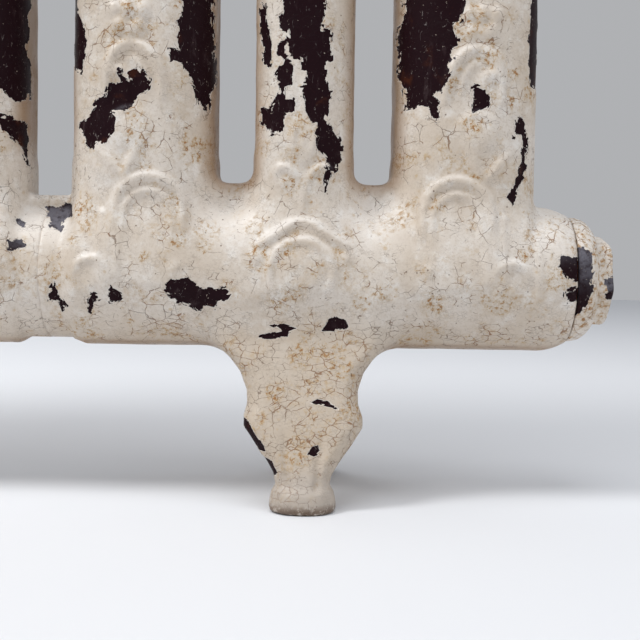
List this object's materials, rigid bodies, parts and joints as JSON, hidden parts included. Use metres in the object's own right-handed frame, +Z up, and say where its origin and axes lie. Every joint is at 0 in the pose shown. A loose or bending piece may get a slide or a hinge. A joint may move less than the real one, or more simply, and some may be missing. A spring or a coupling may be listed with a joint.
{
  "type": "cast iron radiator",
  "caption": "Ornate column radiator of cast iron sections with wide and narrow tubes, screwed together through round headers, on splayed legs, with hexagonal hub plugs and an air vent.",
  "frame": {"origin": "on the floor under the middle of the bounding box", "axes": "+X along the headers towards the air vent and the blank plug, -Y towards the room, +Z up"},
  "size_m": [0.7932, 0.1186, 0.6585],
  "materials": {
    "painted_iron": "old off-white gloss paint, crazed, rust-stained and flaking off dark iron",
    "bare_iron": "bare machined iron",
    "fibre_gasket": "red fibre sheet",
    "brass": "dull turned brass"
  },
  "bodies": {
    "radiator": {"end_section_left": "painted_iron", "middle_section": "painted_iron", "end_section_right": "painted_iron", "blank_plug": "painted_iron", "vent_plug": "painted_iron", "return_bushing": "painted_iron", "supply_bushing": "painted_iron", "nipple_lower_left": "bare_iron", "nipple_lower_right": "bare_iron", "nipple_upper_left": "bare_iron", "nipple_upper_right": "bare_iron", "joint_gasket_lower_left": "fibre_gasket", "joint_gasket_lower_right": "fibre_gasket", "joint_gasket_upper_left": "fibre_gasket", "joint_gasket_upper_right": "fibre_gasket", "blank_plug_gasket": "fibre_gasket", "vent_plug_gasket": "fibre_gasket", "return_bushing_gasket": "fibre_gasket", "supply_bushing_gasket": "fibre_gasket", "vent_washer": "fibre_gasket", "vent_body": "brass"},
    "bleed_screw": {"bleed_screw": "brass"}
  },
  "joints": [
    {"name": "bleed_screw_turn", "type": "hinge", "parent": "radiator", "child": "bleed_screw", "pos_m": [0.3916, 0, 0.624], "axis": [1, 0, 0], "range_deg": [0, 270]}
  ]
}
